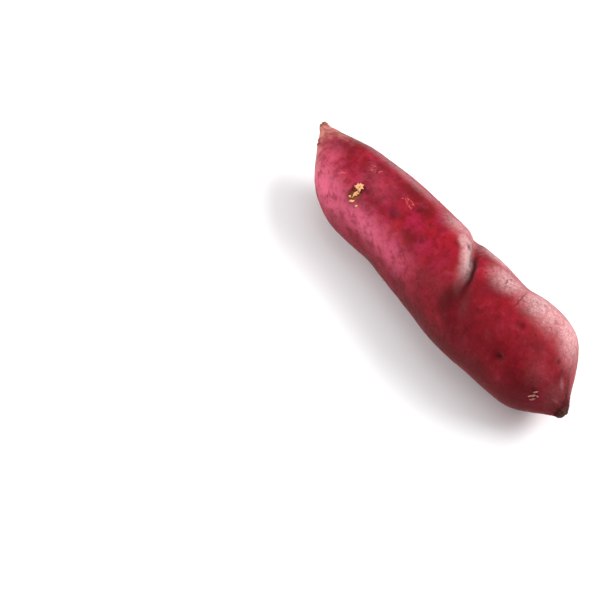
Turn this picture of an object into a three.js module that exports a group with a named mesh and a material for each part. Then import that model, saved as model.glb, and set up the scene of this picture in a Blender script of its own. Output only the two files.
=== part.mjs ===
// A whole raw sweet potato: one storage root, in one piece. It tapers to a point where it hung
// from the vine and is blunt at the other end, where a small nub is left of the root below it.
// It lies on its side along X, with the pointed end towards -X and a little off the ground, and
// its belly is flat in one small spot, which it rests on. A slanting fold crosses its back
// between two swollen lobes.
//
// Millimetres, +Z up. The origin is on the ground, under the middle of the root's box.
import * as THREE from "three";

// ---- Driving dimensions -------------------------------------------------------------------

const LENGTH = 205; // from the pointed end to the nub
const WIDTH = 52; // across Y, where the root is thickest
const HEIGHT = 50; // from belly to back, where the root is thickest
const STALK_RADIUS = 2.3; // of the broken stalk at the pointed end
const NUB_RADIUS = 3.6; // of the nub at the blunt end
const FLAT_DEPTH = 0.8; // how deep the ground presses into the belly
const SMOOTH_BELOW = 13; // the relief dies out where the root's radius is smaller than this

// How thick the root is, as [share of the length, share of the full thickness].
const OUTLINE = [
  [0.02, 0.15],
  [0.05, 0.31],
  [0.09, 0.51],
  [0.14, 0.7],
  [0.2, 0.82],
  [0.28, 0.89],
  [0.38, 0.9],
  [0.47, 0.92],
  [0.57, 0.95],
  [0.67, 0.98],
  [0.76, 1],
  [0.83, 0.98],
  [0.89, 0.86],
  [0.935, 0.61],
  [0.975, 0.31],
];

// Where the middle of the root runs, as [share of the length, mm towards +Y, mm up].
const CENTRE_LINE = [
  [0, 2.4, 6.6],
  [0.08, -2.6, 4],
  [0.18, -4.2, 1.7],
  [0.34, -2.4, 0.2],
  [0.5, -2.3, 0],
  [0.68, -2.6, 1.7],
  [0.86, 0, 2.4],
  [1, -5.1, 0.4],
];

// Swellings, and hollows where the rise is below 0. A place is [share of the length, degrees
// round the root]: 0 is the +Y side, 90 the back, 180 the -Y side and 270 the belly. The reach
// is how far it spreads along and round the root, and the rise how far it stands out, in mm.
const SWELLINGS = [
  { at: [0.2, 195], reach: [20, 22], rise: 1.8 }, // cheek behind the pointed end
  { at: [0.41, 35], reach: [22, 20], rise: 1.2 }, // shoulder just before the fold
  { at: [0.62, 35], reach: [13, 18], rise: 1.2 }, // second lobe, just behind the fold
  { at: [0.725, 50], reach: [7, 18], rise: -1.2 }, // dip between the second and third lobes
  { at: [0.81, 35], reach: [17, 20], rise: 1 }, // third lobe
  { at: [0.64, 190], reach: [20, 20], rise: 1 }, // long swelling on the -Y side
  { at: [0.36, 200], reach: [9, 18], rise: -0.8 }, // waist on the -Y side
  { at: [0.27, 305], reach: [18, 18], rise: 1.5 }, // lump low on the +Y side
  { at: [0.5, 330], reach: [15, 16], rise: -1.6 }, // hollow low on the +Y side
  { at: [0.76, 315], reach: [18, 18], rise: 1.2 }, // second lump low on the +Y side
  { at: [0.53, 275], reach: [28, 22], rise: 1.7 }, // belly, which the root rests on
  { at: [0.9, 30], reach: [10, 14], rise: 1.7 }, // shoulder of the blunt end
  { at: [0.86, 235], reach: [14, 18], rise: 0.8 }, // lump under the blunt end
];

// The fold runs straight over the skin between two such places. It is deepest at one angle
// and fades out round the root from there.
const FOLD = {
  from: [0.545, 40],
  to: [0.683, 130],
  depth: 3.4,
  width: 4.2,
  lip: 1.1, // how far the lobe before the fold stands up over it
  lipReach: 9,
  deepestAt: 75,
  fadesOver: 55, // degrees
};

// Low ribs along the root, which turn round it as they go.
const RIBS = { count: 5, rise: 0.35, turn: 80 };

// How fine the skin's mesh is.
const RINGS = 76;
const SIDES = 52;

// ---- Shape --------------------------------------------------------------------------------

const radians = THREE.MathUtils.degToRad;
const bell = (distance, reach) => Math.exp(-((distance / reach) ** 2));

// The turn from one angle to another, from -180 to 180 degrees.
const turn = (from, to) => THREE.MathUtils.euclideanModulo(to - from + 180, 360) - 180;

// The outline from the stalk to the nub: a curve whose x runs along the root and whose y is the
// root's radius there, both in mm.
function outlineCurve() {
  const point = (along, thick) => new THREE.Vector3(along * LENGTH, (thick * WIDTH) / 2, 0);
  return new THREE.CatmullRomCurve3([
    new THREE.Vector3(0, STALK_RADIUS, 0),
    ...OUTLINE.map(([along, thick]) => point(along, thick)),
    new THREE.Vector3(LENGTH, NUB_RADIUS, 0),
  ]);
}

// The middle of the root at any share of its length, as [mm towards +Y, mm up].
const centreLine = new THREE.CubicInterpolant(
  CENTRE_LINE.map(([along]) => along),
  CENTRE_LINE.flatMap(([, sideways, up]) => [sideways, up]),
  2,
);

// How far the skin stands out at one place, in mm: radius is the root's own there.
function relief(along, angle, radius) {
  const round = (from) => radians(turn(from, angle)) * radius;
  let rise = RIBS.rise * Math.cos(radians(RIBS.count * angle + RIBS.turn * along));
  for (const { at, reach, rise: height } of SWELLINGS) {
    const distance = (along - at[0]) * LENGTH;
    rise += height * bell(distance, reach[0]) * bell(round(at[1]), reach[1]);
  }
  return rise + fold(along, angle);
}

// The fold's groove, and the lip of the lobe before it.
function fold(along, angle) {
  const [startAlong, startAngle] = FOLD.from;
  const [endAlong, endAngle] = FOLD.to;
  const share = turn(startAngle, angle) / (endAngle - startAngle);
  const line = THREE.MathUtils.lerp(startAlong, endAlong, share);
  const past = (along - line) * LENGTH;
  const groove = -FOLD.depth * bell(past, FOLD.width);
  const lip = FOLD.lip * bell(past + FOLD.lipReach, FOLD.lipReach);
  return (groove + lip) * bell(turn(FOLD.deepestAt, angle), FOLD.fadesOver);
}

// The point of the skin at a place on the outline and an angle round the root.
function skinPoint(outline, angle) {
  const along = outline.x / LENGTH;
  const radius = outline.y;
  const [sideways, up] = centreLine.evaluate(along);
  const out = radius + relief(along, angle, radius) * Math.min(1, radius / SMOOTH_BELOW);
  return new THREE.Vector3(
    outline.x,
    sideways + out * Math.cos(radians(angle)),
    up + ((out * HEIGHT) / WIDTH) * Math.sin(radians(angle)),
  );
}

// Rings of points round the root with one point at each end, joined into a closed skin.
function skinGeometry() {
  const outline = outlineCurve().getSpacedPoints(RINGS - 1);
  const points = [];
  const endPoint = ({ x }) => new THREE.Vector3(x, ...centreLine.evaluate(x / LENGTH));
  points.push(endPoint(outline[0]));
  for (const place of outline) {
    for (let side = 0; side < SIDES; side++) {
      points.push(skinPoint(place, (360 * side) / SIDES));
    }
  }
  points.push(endPoint(outline[RINGS - 1]));

  const index = (ring, side) => 1 + ring * SIDES + (side % SIDES);
  const last = points.length - 1;
  const faces = [];
  for (let side = 0; side < SIDES; side++) {
    faces.push(0, index(0, side + 1), index(0, side));
    for (let ring = 0; ring < RINGS - 1; ring++) {
      const [a, b] = [index(ring, side), index(ring, side + 1)];
      const [c, d] = [index(ring + 1, side), index(ring + 1, side + 1)];
      faces.push(a, b, d, a, d, c);
    }
    faces.push(last, index(RINGS - 1, side), index(RINGS - 1, side + 1));
  }
  return new THREE.BufferGeometry().setFromPoints(points).setIndex(faces);
}

// Sinks the root into the ground by FLAT_DEPTH, presses what is below it flat, and puts the
// origin under the middle of the root's box.
function restOnGround(geometry) {
  geometry.computeBoundingBox();
  const { min, max } = geometry.boundingBox;
  geometry.translate(-(min.x + max.x) / 2, -(min.y + max.y) / 2, -min.z - FLAT_DEPTH);
  const position = geometry.getAttribute("position");
  for (let i = 0; i < position.count; i++) {
    position.setZ(i, Math.max(0, position.getZ(i)));
  }
  return geometry;
}

// ---- The part -----------------------------------------------------------------------------

function sweetPotato() {
  const geometry = restOnGround(skinGeometry());
  geometry.computeVertexNormals();
  const skin = new THREE.MeshStandardMaterial({ color: 0x8e2a3c, roughness: 0.5, metalness: 0 });
  const root = new THREE.Mesh(geometry, skin);
  root.name = "sweet_potato";
  return root;
}

const part = new THREE.Group();
part.add(sweetPotato());

export default part;
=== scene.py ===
# A whole raw sweet potato on a pale floor, in metres, in the frame of its CAD part. The CAD skin is
# copied into a finer mesh, its small relief is modelled on that, and its colours are procedural.
# Places on the skin are given as [share of the length, degrees round the root]: 0 is the +Y side,
# 90 the back, 180 the -Y side and 270 the belly. Sizes on the skin are in millimetres.
import math

import bmesh
import bpy
import numpy as np
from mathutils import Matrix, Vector, noise


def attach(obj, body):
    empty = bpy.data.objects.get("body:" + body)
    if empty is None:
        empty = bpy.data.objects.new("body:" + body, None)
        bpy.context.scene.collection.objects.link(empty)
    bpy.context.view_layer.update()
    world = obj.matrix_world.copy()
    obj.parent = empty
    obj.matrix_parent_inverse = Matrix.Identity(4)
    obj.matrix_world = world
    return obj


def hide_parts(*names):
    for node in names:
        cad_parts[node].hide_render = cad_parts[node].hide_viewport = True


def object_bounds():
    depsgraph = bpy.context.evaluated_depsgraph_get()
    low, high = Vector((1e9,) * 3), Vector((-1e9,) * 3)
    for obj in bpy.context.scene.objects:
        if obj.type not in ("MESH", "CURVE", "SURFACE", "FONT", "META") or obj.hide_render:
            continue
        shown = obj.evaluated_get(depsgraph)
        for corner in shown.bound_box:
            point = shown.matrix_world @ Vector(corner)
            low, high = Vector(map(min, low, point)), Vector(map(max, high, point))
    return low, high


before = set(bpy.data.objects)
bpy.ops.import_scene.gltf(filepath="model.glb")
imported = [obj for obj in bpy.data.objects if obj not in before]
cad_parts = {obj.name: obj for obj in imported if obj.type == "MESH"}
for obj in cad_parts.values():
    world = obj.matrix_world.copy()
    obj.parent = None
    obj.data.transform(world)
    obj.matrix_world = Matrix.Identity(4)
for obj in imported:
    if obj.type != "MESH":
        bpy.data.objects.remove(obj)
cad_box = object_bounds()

MM = 0.001
NODE = "sweet_potato"
ROOT_BODY = "root"

# ---- The relief of the skin, in mm ---------------------------------------------------------

FINER_ALONG, FINER_ROUND = 4, 5  # how many steps of the fine skin go into one of the CAD skin

# Waves of the skin: [wave length, height].
LUMPS = [[34, 0.34], [13, 0.2], [5.5, 0.1], [2.6, 0.045]]

# Round hollows: [place, reach along, reach round, depth, how dark].
HOLLOWS = [
    [[0.374, 111], 3.7, 3.7, 1.1, 0.74],  # soft dimple in the middle of the first lobe
    [[0.838, 141], 2.5, 2.0, 1.5, 0.85],  # deep eye low on the third lobe
    [[0.838, 141], 4.8, 4.2, 0.5, 0.35],
    [[0.821, 99], 1.8, 1.8, 0.55, 0.7],  # small eye above it
    [[0.408, 84], 1.1, 1.3, 0.35, 0.6],  # pits along the back
    [[0.459, 86], 0.9, 1.1, 0.3, 0.6],
    [[0.48, 107], 2.6, 2.2, 0.5, 0.5],
    [[0.481, 106], 0.8, 0.7, 0.3, 0.8],
    [[0.253, 85], 0.8, 0.7, 0.25, 0.9],
    [[0.241, 90], 0.6, 0.6, 0.2, 0.7],
    [[0.285, 115], 2.0, 2.0, 0.4, 0.6],  # shade beside the torn scar
    [[0.566, 68], 1.3, 1.2, 0.6, 1.0],  # dark pinhole beside the fold
    [[0.793, 63], 1.1, 1.1, 0.25, 0.45],  # specks on the third lobe
    [[0.849, 60], 1.1, 0.9, 0.3, 0.6],
    [[0.927, 77], 1.3, 1.2, 0.35, 0.75],
    [[0.938, 140], 1.5, 1.3, 0.3, 0.8],
    [[0.046, 141], 0.9, 0.8, -1.0, 0.85],  # stubs of rootlets at the pointed end
    [[0.058, 144], 0.9, 0.8, -1.1, 0.85],
    [[0.72, 118], 2.4, 1.6, 0.35, 0.45],
    [[0.44, 205], 2.4, 1.7, 0.8, 0.8],  # eyes on the other sides
    [[0.7, 215], 2.0, 1.5, 0.7, 0.8],
    [[0.3, 350], 2.4, 1.8, 0.8, 0.8],
    [[0.66, 345], 2.0, 1.6, 0.8, 0.8],
    [[0.85, 320], 1.8, 1.5, 0.7, 0.8],
    [[0.22, 250], 2.0, 1.6, 0.7, 0.8],
]

# Scattered over the whole skin, from one seed. Each range is [least, most], and how dark they are
# goes from 0 to 1.
SEED = 7
PITS = {"count": 150, "along": [0.06, 0.97], "reach": [0.55, 1.0], "depth": [0.08, 0.22],
        "dark": [0.1, 0.55]}
SLITS = {"count": 34, "along": [0.08, 0.95], "width": [0.5, 0.8], "length": [1.8, 4.5],
         "depth": [0.12, 0.3], "dark": [0.1, 0.35]}

# The fold's crease, which sharpens the fold that the CAD skin has: the places it runs through,
# where it is deepest, and how it widens round the root.
CREASE = {"angles": [30, 45, 65, 80, 95, 118, 142, 165],
          "alongs": [0.53, 0.553, 0.585, 0.617, 0.638, 0.654, 0.652, 0.644],
          "deepest_at": 88, "fades_over": 32, "depth": 1.6, "width": 1.9, "wander": 0.7,
          "widens": 1.8, "widens_over": [88, 135]}
# The edge of the lobe before the crease, which stands over it: how far before it, in mm.
EDGE = {"before": 5.5, "reach": 4.5, "height": 0.5}
# The painted shade in the crease, which comes in and dies out over these angles, and its dark
# crumbs.
SHADE = {"comes_in": [60, 76], "dies_out": [98, 160], "past": 0.2, "reach": 1.8, "fraying": 0.35,
         "dark": 0.95, "crumbs_before": 2.2, "crumbs_reach": 1.7, "crumbs_dark": 0.7}
# The pale bloom and painted highlight on the lip before the crease, which is wider and lies
# further from it towards the +Y side, and the grey dust on it: angles in degrees, the rest in mm.
LIP = {"before": 6, "reach": 5, "wander": 1.6, "middle": 74, "spread": 24, "amount": 0.92,
       "far_side": [66, 86], "further": 1.5, "wider": 2}
DUST_BAND = {"before": 3.2, "reach": 3.0, "middle": 84, "spread": 19}

# The two ends. Each pair is where something starts and where it is full, in shares of the
# length. The ridges turn round the root, in degrees over its length.
TIP = {"ends": [0.01, 0.1], "ridges": 7, "turn": 260, "height": 0.32, "roughness": 0.25}
NUB = {"starts": [0.965, 0.99], "coarse": 0.5, "fine": 0.35, "dark": [0.986, 0.998]}
NUB_SIDE = {"dark": [0.982, 0.992], "ragged": 0.004, "middle": 62, "spread": 60}
STALK_BARK = {"ends": [0.0, 0.012], "ragged": 0.01}
NUB_BARK = {"starts": [0.996, 1.002], "ragged": 0.003}

# Ragged scars. The last three pairs are shares of the size: where the hollow, the stain and the
# torn flesh start to fade and where they end. The rim stands at RIM of the size.
SCAR = {"at": [0.268, 125], "size": [4.0, 5.6], "raggedness": 0.55, "grain": 3.2,
        "depth": 0.8, "rim": 0.2, "dark": 0.45,
        "hollow": [0.4, 0.95], "stained": [0.75, 1.35], "torn": [0.35, 0.85]}
STAR = {"at": [0.944, 148], "size": [2.2, 2.2], "raggedness": 0.3, "grain": 1.8,
        "depth": 0.25, "rim": 0, "dark": 0.35, "hollow": [0.4, 1], "stained": [0.6, 1.25]}
RIM, RIM_REACH = 1.1, 0.22

# Flakes of dried flesh: [place, size along and across itself, degrees it is turned from the
# root's length, how far it stands off the skin, degrees it is tilted, which way in radians].
SCAR_CHIPS = [
    [[0.261, 117], [2.9, 2.6], 20, 0.35, 9, 0.6],
    [[0.268, 126], [1.5, 2.4], 0, 0.4, 12, 2.4],
    [[0.274, 136], [1.5, 1.2], 30, 0.3, 12, 3.9],
    [[0.292, 136], [0.8, 0.8], 0, 0.1, 8, 1.0],
    [[0.258, 133], [0.8, 0.7], 0, 0.2, 12, 5.2],
]
STAR_CHIPS = [
    [[0.943, 142], [1.7, 0.6], 48, 0.1, 8, 1.0],
    [[0.943, 151], [2.2, 0.75], 38, 0.1, 8, 2.2],
    [[0.946, 158], [1.8, 0.5], 46, 0.1, 8, 4.0],
    [[0.952, 145], [0.7, 0.6], 0, 0.05, 8, 5.0],
]
CHIP_SPOKES = 17
CHIP_RINGS = [[0.45, 0.5], [0.75, 0.35], [1.0, -0.05], [0.9, -0.6]]  # [share of reach, height]
CHIP_TOP, CHIP_BOTTOM = 0.6, -1.2  # heights of its middle
CHIP_THICKNESS = 0.55  # what a height of 1 stands for
CHIP_BENDS = 0.25  # how far a point's height strays

# Dry rootlets: [place, length, lean along, lean round].
ROOTLETS = [
    [[0.045, 150], 1.8, -0.6, 0.5],
    [[0.056, 154], 1.4, 0.3, 0.6],
    [[0.07, 20], 2.2, -0.5, -0.4],
    [[0.3, 350], 3.2, 0.5, -0.5],
    [[0.44, 205], 2.6, -0.4, 0.6],
    [[0.66, 345], 3.4, 0.7, -0.3],
    [[0.85, 320], 2.4, 0.5, 0.4],
    [[0.7, 215], 2.2, -0.3, 0.5],
    [[0.22, 250], 2.2, 0.2, 0.6],
]
ROOTLET_SIDES, ROOTLET_RINGS = 6, 6
ROOTLET_RADIUS = 0.22
ROOTLET_TAPER = 0.75  # how much of the radius is gone at its end
ROOTLET_DROOP = 0.35  # how much of the length it loses by drooping
ROOTLET_BURIED = 0.3  # how deep it starts in the skin

# ---- Looks ---------------------------------------------------------------------------------

CRIMSON = (0.28, 0.008, 0.017)
MAROON = (0.15, 0.005, 0.009)
MAGENTA = (0.30, 0.010, 0.045)
# Darker maroon, also used for painted shade away from the window light.
DARK_MAROON_AND_SHADE = (0.085, 0.003, 0.005)
# Pink skin, also used for a painted sheen on the first lobe.
ROSE_AND_SHEEN = (0.70, 0.125, 0.215)
SALMON = (0.50, 0.17, 0.145)
TAN = (0.26, 0.085, 0.055)
SHEEN = (0.55, 0.36, 0.33, 1)
# A dark stain, also used for the painted shade in the crease.
STAIN_AND_SHADE = (0.04, 0.003, 0.004)
# Pale bloom, also used for painted highlights.
BLOOM_AND_HIGHLIGHT = (0.60, 0.35, 0.355)
DUST = (0.36, 0.27, 0.265)
SCRATCH = (0.64, 0.12, 0.13)
CORK = (0.36, 0.15, 0.085)
CORK_DARK = (0.045, 0.013, 0.012)
FLESH = (0.80, 0.40, 0.20)
FLESH_BROWN = (0.21, 0.062, 0.016)
SCAR_PINK = (0.40, 0.155, 0.125)
ROOTLET = (0.14, 0.06, 0.035)
ROOTLET_PALE = (0.3, 0.16, 0.1)
FLOOR = (0.86, 0.86, 0.87)

PATTERN_TURN = (0.9, 0.6, 0.35)  # radians

# Zones of other colours on the skin: [place, reach along, reach round, how much].
MAROON_AND_SHADE_ZONES = [  # darker maroon skin, and painted shade away from the window light and where the crease ends
    # The first four are darker maroon and painted shade on the -Y side of the second and third
    # lobes, away from the window light.
    [[0.76, 128], 40, 21, 0.62],
    [[0.68, 182], 66, 12, 1.0],
    [[0.9, 145], 26, 20, 0.5],
    [[0.93, 120], 14, 15, 0.5],
    [[0.36, 72], 26, 7, 0.4],
    [[0.13, 86], 18, 8, 0.45],
    [[0.14, 50], 26, 8, 0.6],
    # Painted shade where the crease ends.
    [[0.65, 128], 9, 9, 1.0],
    [[0.975, 95], 10, 18, 0.6],
]
ROSE_AND_SHEEN_ZONES = [  # pink skin, and a painted sheen in the band along the first lobe's -Y side
    [[0.19, 152], 26, 10, 1.0],
    [[0.33, 148], 26, 7, 1.0],
    [[0.44, 147], 16, 7, 0.7],
    [[0.13, 125], 10, 9, 0.5],
    [[0.28, 100], 13, 9, 0.22],
]
SALMON_ZONES = [  # the paler pointed end
    [[0.0, 90], 15, 60, 1.0],
    [[0.06, 62], 17, 7, 0.6],
    [[0.07, 155], 14, 7, 0.65],
]
BLOOM_AND_HIGHLIGHT_ZONES = [  # pale bloom on the waxy skin, and painted highlights on the side towards the window light
    [[0.5, 50], 16, 9, 0.6],
    [[0.62, 40], 14, 8, 0.65],
    [[0.7, 62], 13, 10, 0.72],
    [[0.81, 58], 17, 12, 0.85],
    [[0.88, 46], 13, 11, 0.85],
    [[0.71, 40], 38, 9, 0.42],
    [[0.963, 76], 3.5, 2.5, 0.35],
    [[0.975, 110], 9, 16, 0.25],
    [[0.92, 118], 12, 15, 0.22],
    [[0.3, 52], 40, 6, 0.4],
]

# Fine cracks and pale scratches: [place it starts, place it ends].
CRACKS = [
    [[0.748, 57], [0.771, 90]],
    [[0.705, 72], [0.694, 62]],
    [[0.694, 62], [0.697, 54]],
]
SCRATCHES = [
    [[0.235, 92], [0.243, 84]],
    [[0.243, 84], [0.262, 84]],
    [[0.25, 90], [0.26, 76]],
    [[0.228, 82], [0.244, 78]],
    [[0.352, 90], [0.372, 82]],
    [[0.356, 80], [0.378, 92]],
    [[0.372, 82], [0.392, 84]],
    [[0.366, 88], [0.396, 90]],
    [[0.185, 126], [0.205, 114]],
    [[0.19, 120], [0.2, 116]],
    [[0.45, 300], [0.49, 292]],
    [[0.6, 240], [0.63, 232]],
]


def bell(distance):
    return np.exp(-np.square(distance))


def turn(start, angle):
    """The turn from one angle to another, from -180 to 180 degrees."""
    return (np.asarray(angle) - start + 180) % 360 - 180


def fade(value, start, end):
    """Rises smoothly from 0 at start to 1 at end."""
    share = np.clip((value - start) / (end - start), 0, 1)
    return share * share * (3 - 2 * share)


# ---- The fine skin -------------------------------------------------------------------------


def cad_rings(node):
    """The CAD skin's rings of points in mm, from the pointed end to the blunt end. The points of
    one ring share their x."""
    points = np.unique(np.array([v.co for v in node.data.vertices]).round(7) / MM, axis=0)
    points = points[np.argsort(points[:, 0], kind="stable")]
    gap = 0.1  # mm between rings, at the least
    rings = np.split(points, np.nonzero(np.diff(points[:, 0]) > gap)[0] + 1)
    sides = min(len(ring) for ring in rings)
    half_step = 180 / sides  # so that the point at 0 degrees comes first
    made = []
    for ring in rings:
        middle = ring[:, 1:].mean(0)
        away = np.linalg.norm(ring[:, 1:] - middle, axis=1)
        ring = ring[np.sort(np.argsort(-away)[:sides])]  # leaves out the point at an end's middle
        offset = ring[:, 1:] - ring[:, 1:].mean(0)
        angle = np.degrees(np.arctan2(offset[:, 1], offset[:, 0])) + half_step
        made.append(ring[np.argsort(angle % 360)])
    return np.array(made)


def refine(grid, times, closed):
    """Puts times - 1 new rows between each two, on Catmull-Rom curves through the old ones."""
    if closed:
        before, after, later = np.roll(grid, 1, 0), np.roll(grid, -1, 0), np.roll(grid, -2, 0)
        start = grid
    else:
        ends = [2 * grid[:1] - grid[1:2], grid, 2 * grid[-1:] - grid[-2:-1]]
        padded = np.concatenate(ends)
        before, start, after, later = padded[:-3], padded[1:-2], padded[2:-1], padded[3:]
    rows = []
    for step in range(times):
        t = step / times
        rows.append(0.5 * (2 * start + (after - before) * t
                           + (2 * before - 5 * start + 4 * after - later) * t ** 2
                           + (3 * start - before - 3 * after + later) * t ** 3))
    fine = np.stack(rows, 1).reshape(-1, *grid.shape[1:])
    return fine if closed else np.concatenate([fine, grid[-1:]])


def closed_ends(grid):
    """Adds shrinking rings that round off both ends."""
    def cap(ring, outward):
        middle = ring.mean(0)
        reach = np.linalg.norm(ring - middle, axis=1).mean()
        steps = [[0.86, 0.22], [0.62, 0.36], [0.34, 0.42]]  # [size, how far out]
        return [middle + (ring - middle) * size + [outward * reach * out, 0, 0]
                for size, out in steps]
    start, end = cap(grid[0], -1), cap(grid[-1], 1)
    return np.concatenate([start[::-1], grid, end])


grid = refine(cad_rings(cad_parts[NODE]), FINER_ALONG, closed=False)
grid = refine(grid.transpose(1, 0, 2), FINER_ROUND, closed=True).transpose(1, 0, 2)
grid = closed_ends(grid)
ROWS, SIDES = grid.shape[:2]

# Where each point is on the skin: its angle, the root's radius and its share of the length there.
START, LENGTH = cad_box[0][0] / MM, (cad_box[1][0] - cad_box[0][0]) / MM
offsets = grid[:, :, 1:] - grid.mean(1)[:, None, 1:]
angles = np.degrees(np.arctan2(offsets[:, :, 1], offsets[:, :, 0]))
whole_angles = angles % 360
radii = np.linalg.norm(offsets, axis=2).mean(1)[:, None] * np.ones((1, SIDES))
alongs = (grid[:, :, 0] - START) / LENGTH


def grid_normals(grid):
    """The unit normals of the skin, outwards."""
    down = np.gradient(grid, axis=0)
    across = (np.roll(grid, -1, 1) - np.roll(grid, 1, 1)) / 2
    normal = np.cross(across, down)
    return normal / np.maximum(np.linalg.norm(normal, axis=2), 1e-9)[:, :, None]


def field(length, seed):
    """Smooth noise over the skin, from about -1 to 1, with waves of that length in mm. Each seed
    gives another pattern."""
    shift = Vector((seed * 17.3, seed * 5.1, seed * 9.7))
    values = [noise.noise(Vector(point) / length + shift) for point in grid.reshape(-1, 3)]
    return np.array(values).reshape(ROWS, SIDES)


def from_place(place):
    """How far each point lies from a place, in mm along and round the root."""
    return (alongs - place[0]) * LENGTH, np.radians(turn(place[1], angles)) * radii


def spot(place, along, round_):
    """1 at a place, fading out over those distances."""
    u, v = from_place(place)
    return bell(u / along) * bell(v / round_)


def strongest(spots):
    """The strongest of those spots at each point."""
    return np.max([amount * spot(place, along, round_) for place, along, round_, amount in spots],
                  axis=0)


def strokes(ends):
    """For the nearest of many short lines: which side of it each point lies on, in mm, and 1 where
    the line runs, fading to 0 beyond its ends."""
    best = np.full(alongs.shape, np.inf)
    side, there = np.zeros(alongs.shape), np.zeros(alongs.shape)
    for start, end in ends:
        middle = [(start[0] + end[0]) / 2, (start[1] + end[1]) / 2]
        u, v = from_place(middle)
        size = np.interp(middle[0], alongs[:, 0], radii[:, 0])
        run = np.array([(end[0] - start[0]) * LENGTH, math.radians(end[1] - start[1]) * size])
        half = np.linalg.norm(run) / 2
        run = run / (2 * half)
        s, n = u * run[0] + v * run[1], v * run[0] - u * run[1]
        away = np.abs(n) + np.maximum(0, np.abs(s) - half)
        nearer = away < best
        best = np.where(nearer, away, best)
        side = np.where(nearer, n, side)
        there = np.where(nearer, 1 - fade(np.abs(s), half * 0.55, half * 1.1), there)
    return side, there


# ---- The relief on the fine skin -----------------------------------------------------------

scatter = np.random.default_rng(SEED)
rise = np.zeros(alongs.shape)  # how far the fine skin stands out from the CAD skin, in mm
dark = np.zeros(alongs.shape)  # how dark it is, from 0 to 1: marks and stains, and the painted shade in the crease


def lift(amount):
    rise[:] += amount


# Darkens the skin where it is stained, and where shade is painted into the crease.
def darken(amount):
    dark[:] = np.maximum(dark, amount)


def lumps_and_hollows():
    for number, (length, height) in enumerate(LUMPS):
        lift(height * field(length, number))
    for place, along, round_, depth, darkness in HOLLOWS:
        there = spot(place, along, round_)
        lift(-depth * there)
        darken(darkness * there)


def pits_and_slits():
    """Pits, and short slits across the root, scattered over it."""
    for _ in range(PITS["count"]):
        place = [scatter.uniform(*PITS["along"]), scatter.uniform(0, 360)]
        reach = scatter.uniform(*PITS["reach"])
        there = spot(place, reach, reach)
        lift(-scatter.uniform(*PITS["depth"]) * there)
        darken(scatter.uniform(*PITS["dark"]) * there)
    for _ in range(SLITS["count"]):
        place = [scatter.uniform(*SLITS["along"]), scatter.uniform(0, 360)]
        there = spot(place, scatter.uniform(*SLITS["width"]), scatter.uniform(*SLITS["length"]))
        lift(-scatter.uniform(*SLITS["depth"]) * there)
        darken(scatter.uniform(*SLITS["dark"]) * there)


def past_the_crease():
    """How far past the fold's crease each point lies, in mm along the root."""
    line = np.interp(whole_angles, CREASE["angles"], CREASE["alongs"], left=0, right=0)
    return (alongs - line) * LENGTH + CREASE["wander"] * field(7, 11)


def crease():
    """The crease of the fold, with the lobe before it standing over it, and the painted shade in
    it.
    """
    strength = bell(turn(CREASE["deepest_at"], angles) / CREASE["fades_over"])
    widening = 1 + CREASE["widens"] * fade(whole_angles, *CREASE["widens_over"])
    lift(-CREASE["depth"] * strength * bell(past / (CREASE["width"] * widening)))
    lift(EDGE["height"] * strength * bell((past + EDGE["before"]) / EDGE["reach"]))

    # Painted shade in the crease under the lobe that stands over it, with dark crumbs on the lip's
    # side.
    shade = fade(whole_angles, *SHADE["comes_in"]) * (1 - fade(whole_angles, *SHADE["dies_out"]))
    frayed = SHADE["reach"] * widening * (1 + SHADE["fraying"] * field(2.5, 18))
    darken(SHADE["dark"] * shade * bell((past - SHADE["past"]) / frayed))
    crumbs = bell((past + SHADE["crumbs_before"]) / SHADE["crumbs_reach"])
    crumbs *= fade(field(1.7, 20), -0.25, 0.45)
    darken(SHADE["crumbs_dark"] * shade * crumbs)


def ends():
    """The ridged pointed end and the rough nub, which is dark and darkest on one side."""
    ridges = np.cos(np.radians(TIP["ridges"] * angles + TIP["turn"] * alongs))
    tip = TIP["height"] * ridges + TIP["roughness"] * field(3, 12)
    lift((1 - fade(alongs, *TIP["ends"])) * tip)
    nub = NUB["coarse"] * field(2.6, 13) + NUB["fine"] * field(1.3, 22)
    lift(fade(alongs, *NUB["starts"]) * nub)
    side = bell(turn(NUB_SIDE["middle"], angles) / NUB_SIDE["spread"])
    darken(fade(alongs + NUB_SIDE["ragged"] * field(3, 17), *NUB_SIDE["dark"]) * side)
    darken(fade(alongs, *NUB["dark"]))
    darken(0.9 * spot([0.98, 52], 3.0, 2.4))


def corky():
    """1 on the broken stalk and on the end of the nub, which are bark."""
    stalk = 1 - fade(alongs + STALK_BARK["ragged"] * field(3, 14), *STALK_BARK["ends"])
    nub = fade(alongs + NUB_BARK["ragged"] * field(2.5, 19), *NUB_BARK["starts"])
    return np.maximum(stalk, nub)


def scarred(scar, seed):
    """A scar's hollow, rim and stain. Returns how far each point lies from its middle, as a share
    of its size with ragged edges."""
    u, v = from_place(scar["at"])
    away = np.hypot(u / scar["size"][0], v / scar["size"][1])
    away += scar["raggedness"] * field(scar["grain"], seed)
    lift(-scar["depth"] * (1 - fade(away, *scar["hollow"])))
    lift(scar["rim"] * bell((away - RIM) / RIM_REACH))
    darken(scar["dark"] * (1 - fade(away, *scar["stained"])))
    return away


def lip_bloom_and_highlight():
    """1 on the pale bloom and painted highlight on the lip before the crease."""
    far = 1 - fade(whole_angles, *LIP["far_side"])
    lip = bell((past + LIP["before"] + LIP["further"] * far + LIP["wander"] * field(6, 21))
               / (LIP["reach"] + LIP["wider"] * far))
    return lip * bell(turn(LIP["middle"], angles) / LIP["spread"])


def dust_band():
    """1 where grey dust lies on the lip, close to the crease."""
    band = bell((past + DUST_BAND["before"]) / DUST_BAND["reach"])
    return band * bell(turn(DUST_BAND["middle"], angles) / DUST_BAND["spread"])


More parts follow.
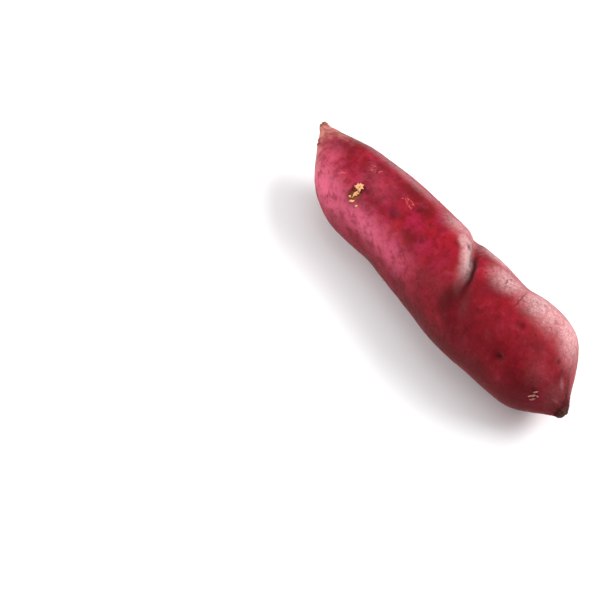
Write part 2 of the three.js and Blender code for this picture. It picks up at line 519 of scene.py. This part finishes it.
past = past_the_crease()
lumps_and_hollows()
pits_and_slits()
crease()
ends()
torn = 1 - fade(scarred(SCAR, 15), *SCAR["torn"])
scarred(STAR, 16)

# What the skin's material reads at each point.
zones = {
    "dark": dark, "cork": corky(), "torn": torn, "dust": dust_band(),
    # The deep zones hold painted shade, the rose zones a painted sheen and the bloom painted
    # highlights, besides the skin's own colours.
    "maroon_and_shade": strongest(MAROON_AND_SHADE_ZONES), "rose_and_sheen": strongest(ROSE_AND_SHEEN_ZONES),
    "salmon": strongest(SALMON_ZONES),
    "bloom_and_highlight": np.maximum(LIP["amount"] * lip_bloom_and_highlight(), strongest(BLOOM_AND_HIGHLIGHT_ZONES)),
    "magenta": 1 - 0.75 * fade(alongs, 0.5, 0.66),
}
for kind, lines in {"crack": CRACKS, "scratch": SCRATCHES}.items():
    zones[kind + "_side"], zones[kind + "_there"] = strokes(lines)

skin_points = grid + grid_normals(grid) * rise[:, :, None]
skin_points[:, :, 2] = np.maximum(skin_points[:, :, 2], 0)
skin_normals = grid_normals(skin_points)


def on_skin(place):
    """The point of the skin at a place, its normal, and the directions along and round the root."""
    u, v = from_place(place)
    row, side = np.unravel_index(np.argmin(u ** 2 + v ** 2), u.shape)
    normal = Vector(skin_normals[row, side])
    along = Vector((1, 0, 0)) - normal * normal.x
    along.normalize()
    return Vector(skin_points[row, side]), normal, along, normal.cross(along)


# ---- Materials -----------------------------------------------------------------------------


class Shader:
    """Builds one material's nodes. A call that adds a node returns one of its outputs."""

    # The sockets of a Mix node that mixes colours.
    SHARE, FIRST, SECOND, MIXED = 0, 6, 7, 2

    def __init__(self, name, **constants):
        self.material = bpy.data.materials.new(name)
        self.material.use_nodes = True
        self.nodes, self.links = self.material.node_tree.nodes, self.material.node_tree.links
        self.principled = self.nodes["Principled BSDF"]
        for key, value in constants.items():
            self.principled.inputs[key.replace("_", " ")].default_value = value

    def put(self, socket, value):
        """Links a socket, or sets it."""
        if isinstance(value, bpy.types.NodeSocket):
            self.links.new(value, socket)
        elif socket.type == "RGBA" and len(value) == 3:
            socket.default_value = (*value, 1)
        else:
            socket.default_value = value

    def node(self, kind, out=0, settings=None, **inputs):
        node = self.nodes.new(kind)
        for key, value in (settings or {}).items():
            setattr(node, key, value)
        for key, value in inputs.items():
            self.put(node.inputs[key.replace("_", " ")], value)
        return node.outputs[out]

    def zone(self, name):
        return self.node("ShaderNodeAttribute", "Fac", {"attribute_name": name})

    def position(self, stretch=(1, 1, 1)):
        """The place on the root, turned so that no pattern lines up with the root's own axes."""
        place = self.node("ShaderNodeTexCoord", "Object")
        return self.node("ShaderNodeMapping", Vector=place, Scale=stretch, Rotation=PATTERN_TURN)

    def noise(self, size, detail=2.0, stretch=(1, 1, 1), roughness=0.5):
        """Noise from 0 to 1 with features of that size in mm, stretched along an axis if asked."""
        return self.node("ShaderNodeTexNoise", "Fac", Vector=self.position(stretch),
                         Scale=1 / (size * MM), Detail=detail, Roughness=roughness)

    def math(self, operation, a, b=0.0, clamp=False):
        node = self.nodes.new("ShaderNodeMath")
        node.operation, node.use_clamp = operation, clamp
        self.put(node.inputs[0], a)
        self.put(node.inputs[1], b)
        return node.outputs[0]

    def times(self, a, b):
        return self.math("MULTIPLY", a, b)

    def plus(self, a, b, clamp=False):
        return self.math("ADD", a, b, clamp)

    def most(self, a, b):
        return self.math("MAXIMUM", a, b)

    def ramp(self, value, low, high, to_low=0.0, to_high=1.0):
        """Carries low..high smoothly to to_low..to_high."""
        node = self.nodes.new("ShaderNodeMapRange")
        node.interpolation_type = "SMOOTHSTEP"
        for socket, v in zip(node.inputs, (value, low, high, to_low, to_high)):
            self.put(socket, v)
        return node.outputs[0]

    def mix(self, share, a, b):
        """Colour a, turning to colour b as share goes to 1."""
        node = self.nodes.new("ShaderNodeMix")
        node.data_type = "RGBA"
        self.put(node.inputs[self.SHARE], share)
        self.put(node.inputs[self.FIRST], a)
        self.put(node.inputs[self.SECOND], b)
        return node.outputs[self.MIXED]

    def dots(self, size, share):
        """Soft dots of that spacing in mm: 1 at their middles, 0 beyond that share of it."""
        cells = self.node("ShaderNodeTexVoronoi", "Distance", Vector=self.position(),
                          Scale=1 / (size * MM), Randomness=1.0)
        return self.ramp(cells, share, share * 0.3)

    def line(self, name, width, wobble):
        """1 on the lines stored under that name, which are that wide in mm."""
        side = self.plus(self.zone(name + "_side"), wobble)
        near = self.ramp(self.math("ABSOLUTE", side), width, width * 0.3)
        return self.times(near, self.zone(name + "_there"))

    def finish(self, colour, roughness, height, rise=1.0):
        """Links the colour, the roughness and the bump: a height of 1 is rise mm."""
        self.put(self.principled.inputs["Base Color"], colour)
        self.put(self.principled.inputs["Roughness"], roughness)
        bump = self.node("ShaderNodeBump", Height=height, Distance=rise * MM)
        self.put(self.principled.inputs["Normal"], bump)
        return self.material


class SkinShader(Shader):
    """Thin waxy skin: crimson to maroon, pinker and paler in zones, darker in its hollows. The
    zones also hold a painted sheen, painted highlights and painted shade. Its colour is laid on in
    layers, and each takes the colour below it. A ramp's numbers are levels of a noise or a zone,
    then how much of the next colour they bring."""

    def __init__(self):
        super().__init__("root_skin", Specular_IOR_Level=0.06, Sheen_Weight=0.12,
                         Sheen_Roughness=0.35, Sheen_Tint=SHEEN)
        self.dark, self.cork, self.torn, self.bloom_and_highlight = (
            self.zone(name) for name in ("dark", "cork", "torn", "bloom_and_highlight"))
        self.bare = self.most(self.cork, self.torn)
        self.mottle = self.noise(4.2, 4)
        self.grain = self.noise(0.9, 3, roughness=0.6)
        self.fine = self.noise(0.45, 2, roughness=0.6)
        self.fibres = self.noise(1.1, 3, stretch=(0.35, 1, 1))
        wobble = self.times(self.math("SUBTRACT", self.noise(1.3), 0.5), 1.8)
        self.cracks = self.line("crack", 0.45, wobble)
        self.scratches = self.line("scratch", 0.5, wobble)
        self.freckles = self.times(self.dots(5.5, 0.16), self.ramp(self.noise(9), 0.5, 0.6))

    def red(self):
        """Crimson with patches of maroon, blushes of magenta, and the deep zones, which are darker
        maroon and partly painted shade.
        """
        colour = self.mix(self.ramp(self.noise(17, 3), 0.37, 0.58), MAROON, CRIMSON)
        blushes = self.times(self.ramp(self.noise(8, 3), 0.42, 0.64, 0, 0.6), self.zone("magenta"))
        colour = self.mix(blushes, colour, MAGENTA)
        colour = self.mix(self.ramp(self.mottle, 0.47, 0.66, 0, 0.6), colour, MAROON)
        colour = self.mix(self.ramp(self.mottle, 0.46, 0.24, 0, 0.12), colour, ROSE_AND_SHEEN)
        return self.mix(self.times(self.zone("maroon_and_shade"), 0.85), colour, DARK_MAROON_AND_SHADE)

    def pink(self, colour):
        """The mottled pink zones, partly a painted sheen, and the salmon pointed end with its tan
        ridges.
        """
        rose_and_sheen_share = self.times(self.zone("rose_and_sheen"), self.ramp(self.mottle, 0.68, 0.42, 0.45, 1.0))
        colour = self.mix(self.times(rose_and_sheen_share, 0.85), colour, ROSE_AND_SHEEN)
        ridges = self.noise(2.2, 3, stretch=(0.14, 1, 1))
        end = self.mix(self.ramp(ridges, 0.42, 0.64), SALMON, TAN)
        pale = self.plus(self.zone("salmon"), self.ramp(self.mottle, 0.7, 0.3, -0.12, 0.12))
        colour = self.mix(self.ramp(pale, 0.12, 1.0), colour, end)
        return self.mix(self.ramp(self.fibres, 0.5, 0.75, 0, 0.3), colour, STAIN_AND_SHADE)

    def dusted(self, colour):
        """The pale bloom with its painted highlights, and the grey dust, broken up by the grain."""
        grit = self.most(self.ramp(self.fine, 0.45, 0.66), self.ramp(self.grain, 0.48, 0.62))
        patchy = self.ramp(self.noise(2.2, 3), 0.38, 0.56, 0.65, 1.0)
        grit = self.times(self.ramp(grit, 0.0, 1.0, 0.6, 1.0), patchy)
        speckle = self.times(self.ramp(self.bloom_and_highlight, 0.1, 0.85), grit)
        colour = self.mix(self.times(speckle, 0.95), colour, BLOOM_AND_HIGHLIGHT)
        dusty = self.times(self.zone("dust"), self.ramp(grit, 0.0, 1.0, 0.5, 1.0))
        return self.mix(self.times(dusty, 0.9), colour, DUST)

    def marked(self, colour):
        """The scratches, and the darkening in hollows, freckles and cracks, which takes in the
        painted shade in the crease.
        """
        scratch = self.times(self.scratches, self.ramp(self.grain, 0.35, 0.6))
        colour = self.mix(self.times(scratch, 0.65), colour, SCRATCH)
        darken = self.most(self.times(self.dark, 0.9), self.times(self.freckles, 0.6))
        return self.mix(self.most(darken, self.times(self.cracks, 0.55)), colour, STAIN_AND_SHADE)

    def stripped(self, colour):
        """Bark on the stalk and the nub, and browned flesh in the torn scar."""
        bark = self.mix(self.ramp(self.noise(1.2, 4), 0.35, 0.65), CORK_DARK, CORK)
        bark = self.mix(self.times(self.dark, 0.9), bark, CORK_DARK)
        colour = self.mix(self.ramp(self.cork, 0.3, 0.7), colour, bark)
        raw = self.mix(self.ramp(self.noise(1.8, 2), 0.5, 0.66), FLESH_BROWN, STAIN_AND_SHADE)
        return self.mix(self.ramp(self.torn, 0.15, 0.75), colour, raw)

    def roughness(self):
        rough = self.ramp(self.noise(2.4, 3), 0.3, 0.7, 0.40, 0.52)
        rough = self.plus(rough, self.times(self.bloom_and_highlight, 0.06))
        return self.plus(rough, self.times(self.bare, 0.35), clamp=True)

    def height(self):
        """The fine bumps in mm. The larger ones are in the mesh."""
        bark = self.times(self.bare, self.noise(0.7, 3))
        height = 0.0
        for pattern, amount in ((self.grain, 0.12), (self.fine, 0.07), (self.mottle, 0.12),
                                (self.fibres, 0.06), (bark, 0.5), (self.cracks, -0.25),
                                (self.freckles, -0.1)):
            height = self.plus(height, self.times(pattern, amount))
        return height


def skin_material():
    s = SkinShader()
    colour = s.stripped(s.marked(s.dusted(s.pink(s.red()))))
    return s.finish(colour, s.roughness(), s.height())


def flesh_material():
    """Torn, dried flesh: pale, and browned in patches."""
    s = Shader("torn_flesh", Specular_IOR_Level=0.3)
    colour = s.mix(s.ramp(s.noise(1.3, 3), 0.52, 0.68), FLESH, FLESH_BROWN)
    return s.finish(colour, 0.7, s.noise(0.5, 3), 0.25)


def pale_material():
    """Old pale scar tissue, pinkish."""
    s = Shader("pale_scar", Specular_IOR_Level=0.3)
    colour = s.mix(s.ramp(s.noise(0.8), 0.5, 0.8), SCAR_PINK, BLOOM_AND_HIGHLIGHT)
    return s.finish(colour, 0.6, s.noise(0.5, 3), 0.2)


def rootlet_material():
    s = Shader("dry_rootlet", Specular_IOR_Level=0.3)
    colour = s.mix(s.noise(0.8), ROOTLET, ROOTLET_PALE)
    return s.finish(colour, 0.8, s.noise(0.4), 0.1)


# ---- The pieces ----------------------------------------------------------------------------


def add_piece(name, mesh, material):
    """A smooth piece of the root, in its material."""
    piece = bpy.data.objects.new(name, mesh)
    bpy.context.scene.collection.objects.link(piece)
    mesh.materials.append(material)
    mesh.polygons.foreach_set("use_smooth", [True] * len(mesh.polygons))
    mesh.update()
    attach(piece, ROOT_BODY)
    return piece


def skin_mesh():
    """The closed skin, with its zones stored on its points."""
    start, end = skin_points[0].mean(0), skin_points[-1].mean(0)
    vertices = np.concatenate([skin_points.reshape(-1, 3), [start, end]]) * MM
    index = np.arange(ROWS * SIDES).reshape(ROWS, SIDES)
    after = np.roll(index, -1, 1)
    quads = np.stack([index[:-1], after[:-1], after[1:], index[1:]], -1).reshape(-1, 4)
    first, last = ROWS * SIDES, ROWS * SIDES + 1
    faces = quads.tolist()
    faces += [[first, b, a] for a, b in zip(index[0].tolist(), after[0].tolist())]
    faces += [[last, a, b] for a, b in zip(index[-1].tolist(), after[-1].tolist())]
    mesh = bpy.data.meshes.new("sweet_potato_skin")
    mesh.from_pydata(vertices.tolist(), [], faces)
    for name, values in zones.items():
        ends = [values[0].mean(), values[-1].mean()]
        stored = mesh.attributes.new(name, "FLOAT", "POINT")
        stored.data.foreach_set("value", np.concatenate([values.ravel(), ends]).astype(np.float32))
    return mesh


def bmesh_piece(name, add_all):
    """The mesh of what add_all puts into a bmesh."""
    bm = bmesh.new()
    add_all(bm)
    mesh = bpy.data.meshes.new(name)
    bmesh.ops.recalc_face_normals(bm, faces=bm.faces)
    bm.to_mesh(mesh)
    bm.free()
    return mesh


def bridge(bm, rings):
    """Joins each ring of points to the next."""
    for inner, outer in zip(rings, rings[1:]):
        for k in range(len(inner)):
            n = (k + 1) % len(inner)
            bm.faces.new((inner[k], outer[k], outer[n], inner[n]))


def splinter():
    """How far a flake reaches at one spoke, as a share of its size: here and there further."""
    reach = scatter.uniform(0.5, 1.0)
    return reach + 0.3 if scatter.random() < 0.3 else reach


def add_chip(bm, place, size, turned, off_skin, tilt, lean):
    """A ragged flake of dried flesh, as SCAR_CHIPS and STAR_CHIPS list them."""
    centre, normal, along, round_ = on_skin(place)
    cos, sin = math.cos(math.radians(turned)), math.sin(math.radians(turned))
    along, round_ = along * cos + round_ * sin, round_ * cos - along * sin
    slope = math.tan(math.radians(tilt))

    def at(u, v, height):
        tilted = slope * (u * math.cos(lean) + v * math.sin(lean))
        w = off_skin + height * CHIP_THICKNESS + tilted
        return bm.verts.new((centre + along * u + round_ * v + normal * w) * MM)

    reach = [splinter() for _ in range(CHIP_SPOKES)]
    top, bottom = at(0, 0, CHIP_TOP), at(0, 0, CHIP_BOTTOM)
    rings = []
    for share, height in CHIP_RINGS:
        ring = []
        for k in range(CHIP_SPOKES):
            a, out = 2 * math.pi * k / CHIP_SPOKES, share * reach[k]
            bent = height + scatter.uniform(-CHIP_BENDS, CHIP_BENDS)
            ring.append(at(size[0] * out * math.cos(a), size[1] * out * math.sin(a), bent))
        rings.append(ring)
    bridge(bm, rings)
    for k in range(CHIP_SPOKES):
        n = (k + 1) % CHIP_SPOKES
        bm.faces.new((top, rings[0][k], rings[0][n]))
        bm.faces.new((bottom, rings[-1][n], rings[-1][k]))


def chips_mesh(name, chips):
    def add_all(bm):
        for chip in chips:
            add_chip(bm, *chip)
    return bmesh_piece(name, add_all)


def add_rootlet(bm, place, length, lean_along, lean_round):
    """A thin tapered rootlet that leaves the skin upright and droops."""
    centre, normal, along, round_ = on_skin(place)
    rings = []
    for t in np.linspace(0, 1, ROOTLET_RINGS):
        way = normal * (t - ROOTLET_DROOP * t * t)
        way += (along * lean_along + round_ * lean_round) * t * t
        middle = centre - normal * ROOTLET_BURIED + way * length
        wide = ROOTLET_RADIUS * (1 - ROOTLET_TAPER * t)
        rings.append([bm.verts.new((middle + along * wide * math.cos(a)
                                    + round_ * wide * math.sin(a)) * MM)
                      for a in np.linspace(0, 2 * math.pi, ROOTLET_SIDES, endpoint=False)])
    bridge(bm, rings)
    bm.faces.new(rings[0][::-1])
    bm.faces.new(rings[-1])


def rootlets_mesh():
    def add_all(bm):
        for rootlet in ROOTLETS:
            add_rootlet(bm, *rootlet)
    return bmesh_piece("rootlets", add_all)


skin = add_piece("sweet_potato_skin", skin_mesh(), skin_material())
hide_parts(NODE)
add_piece("scar_flesh", chips_mesh("scar_flesh", SCAR_CHIPS), flesh_material())
add_piece("star_flesh", chips_mesh("star_flesh", STAR_CHIPS), pale_material())
add_piece("rootlets", rootlets_mesh(), rootlet_material())

# ---- Floor, light and camera ---------------------------------------------------------------

FLOOR_HALF = 6.0
SURROUNDINGS = 0.35  # how bright they are
# Soft lights: [place, size, power in watts].
LIGHTS = {
    "window": [(0.35, 0.6, 0.75), (0.8, 0.5), 13],
    "overhead": [(0.1, 0.1, 1.1), (0.8, 0.8), 3.5],
    "fill": [(-0.7, -0.45, 0.4), (0.5, 0.4), 6],
}
MIDDLE = Vector((0, 0, 0.025))  # of the root, which the lights look at

AZIMUTH, ELEVATION = math.radians(55), math.radians(55)
DISTANCE = 0.833
LENS, SENSOR = 100, 36  # mm
AIM_RIGHT, AIM_UP = 0.0682, 0.0182  # how far the root sits right of the picture's middle, and up


def floor():
    mesh = bpy.data.meshes.new("floor")
    corners = [(-1, -1), (1, -1), (1, 1), (-1, 1)]
    mesh.from_pydata([(x * FLOOR_HALF, y * FLOOR_HALF, 0) for x, y in corners], [], [(0, 1, 2, 3)])
    material = Shader("pale_floor", Specular_IOR_Level=0.2)
    material.put(material.principled.inputs["Base Color"], FLOOR)
    material.put(material.principled.inputs["Roughness"], 0.7)
    mesh.materials.append(material.material)
    plane = bpy.data.objects.new("floor", mesh)
    bpy.context.scene.collection.objects.link(plane)


def softbox(name, place, size, power):
    """A soft rectangular light that looks at the root."""
    light = bpy.data.lights.new(name, "AREA")
    light.shape, light.size, light.size_y = "RECTANGLE", *size
    light.energy = power
    lamp = bpy.data.objects.new(name, light)
    lamp.location = place
    lamp.rotation_mode = "QUATERNION"
    lamp.rotation_quaternion = (MIDDLE - Vector(place)).to_track_quat("-Z", "Y")
    lamp.visible_camera = False
    bpy.context.scene.collection.objects.link(lamp)


def surroundings():
    world = bpy.data.worlds.new("studio")
    world.use_nodes = True
    background = world.node_tree.nodes["Background"]
    background.inputs["Color"].default_value = (1, 1, 1, 1)
    background.inputs["Strength"].default_value = SURROUNDINGS
    bpy.context.scene.world = world


def camera():
    """Looks down on the root, which lies right of the picture's middle and a little above it."""
    back = Vector((math.sin(AZIMUTH) * math.cos(ELEVATION),
                   -math.cos(AZIMUTH) * math.cos(ELEVATION), math.sin(ELEVATION)))
    right = Vector((math.cos(AZIMUTH), math.sin(AZIMUTH), 0))
    up = back.cross(right)
    data = bpy.data.cameras.new("camera")
    data.lens, data.sensor_width = LENS, SENSOR
    data.clip_start, data.clip_end = 0.01, 50
    view = bpy.data.objects.new("camera", data)
    view.location = MIDDLE + back * DISTANCE - right * AIM_RIGHT - up * AIM_UP
    view.rotation_mode = "QUATERNION"
    view.rotation_quaternion = (-back).to_track_quat("-Z", "Y")
    bpy.context.scene.collection.objects.link(view)
    bpy.context.scene.camera = view


floor()
surroundings()
for name, light in LIGHTS.items():
    softbox(name, *light)
camera()
bpy.context.scene.view_settings.view_transform = "Standard"
